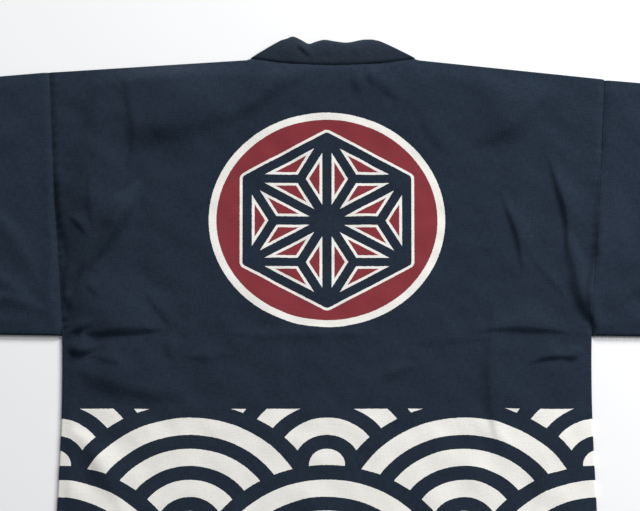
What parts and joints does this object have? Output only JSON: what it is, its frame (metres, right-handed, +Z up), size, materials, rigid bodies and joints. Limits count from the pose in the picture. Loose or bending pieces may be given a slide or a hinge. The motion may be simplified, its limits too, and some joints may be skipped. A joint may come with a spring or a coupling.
{
  "type": "hanten",
  "caption": "Short straight-cut festival coat laid flat with its back up: wide back panel, two fronts, flat tube sleeves and a long collar band.",
  "frame": {"origin": "middle of the garment's outline, on the surface that it lies on", "axes": "+X to the right of the back view, +Y from the hem to the collar, +Z up, out of the back"},
  "size_m": [1.287, 0.8688, 0.026],
  "materials": {
    "printed_cotton": "matte plain-weave cotton dyed navy, with a cream and dark red print",
    "collar_cotton": "matte plain-weave cotton dyed navy"
  },
  "bodies": {
    "root": {"back": "printed_cotton", "front_left": "printed_cotton", "front_right": "printed_cotton", "sleeve_left": "printed_cotton", "sleeve_right": "printed_cotton", "collar": "collar_cotton"}
  },
  "joints": []
}
